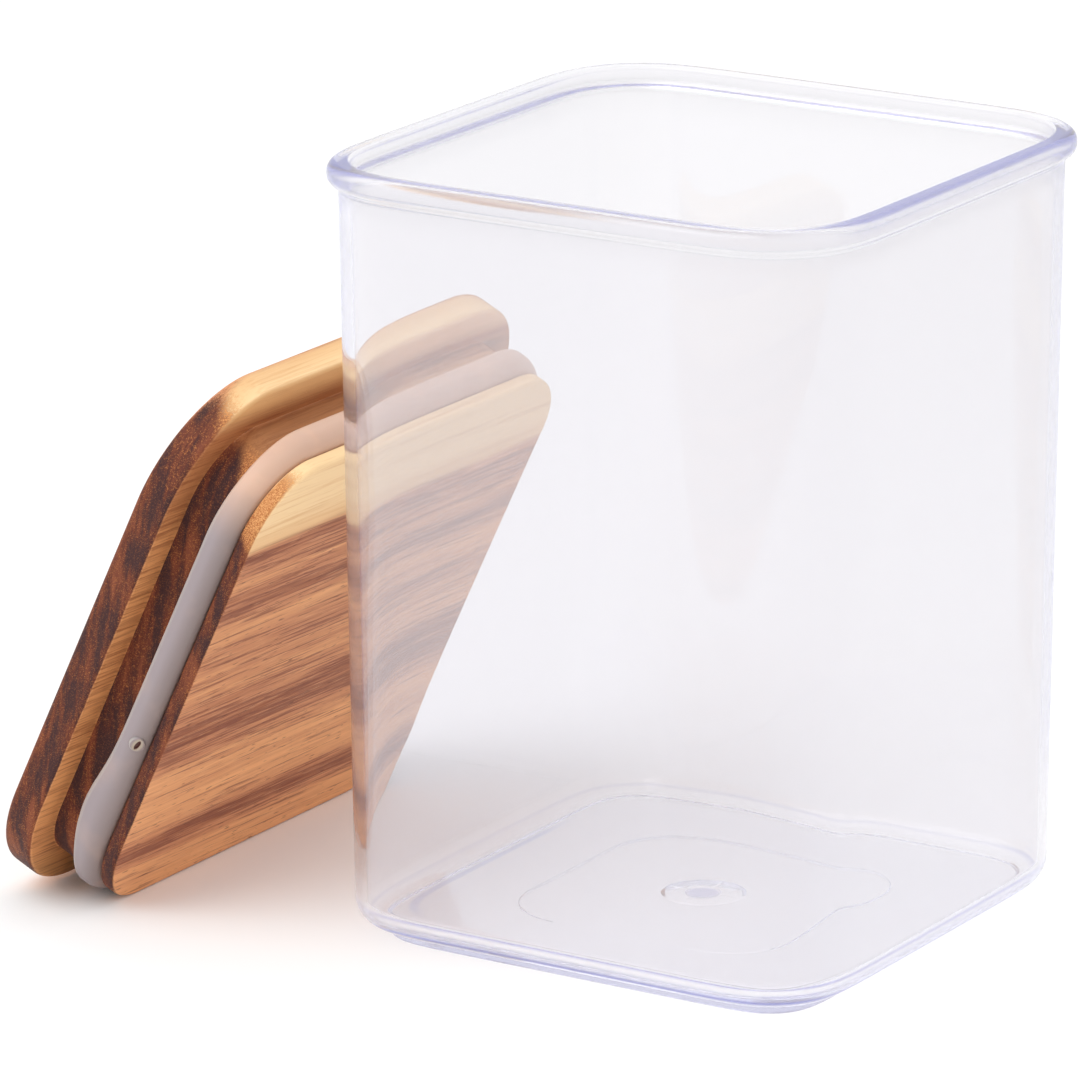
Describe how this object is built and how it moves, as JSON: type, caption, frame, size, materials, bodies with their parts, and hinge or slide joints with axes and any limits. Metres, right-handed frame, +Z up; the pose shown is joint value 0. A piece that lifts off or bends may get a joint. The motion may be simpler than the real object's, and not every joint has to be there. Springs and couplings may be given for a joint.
{
  "type": "storage jar",
  "caption": "Square clear storage jar with a rounded rim band and a stepped foot; its wooden plug lid with a soft hollow seal leans on one wall.",
  "frame": {"origin": "the middle of the jar's foot, on the surface it stands on", "axes": "+Z up along the jar; +X square out of the wall opposite the one the lid leans on, so the lid stands on the -X side; Y along the lid's grain, with the lid set a little towards -Y"},
  "size_m": [0.1563, 0.1109, 0.132],
  "materials": {
    "jar": "clear, polished moulding",
    "lid": "oiled, streaked brown and straw",
    "seal": "milky, satin silicone"
  },
  "bodies": {
    "vessel": {"jar": "jar"},
    "stopper": {"lid": "lid", "seal": "seal"}
  },
  "joints": [
    {"name": "lid_lift", "type": "slide", "parent": "vessel", "child": "stopper", "axis": [-0.9018, 0, 0.4321], "range_m": [0, 0.12]}
  ]
}
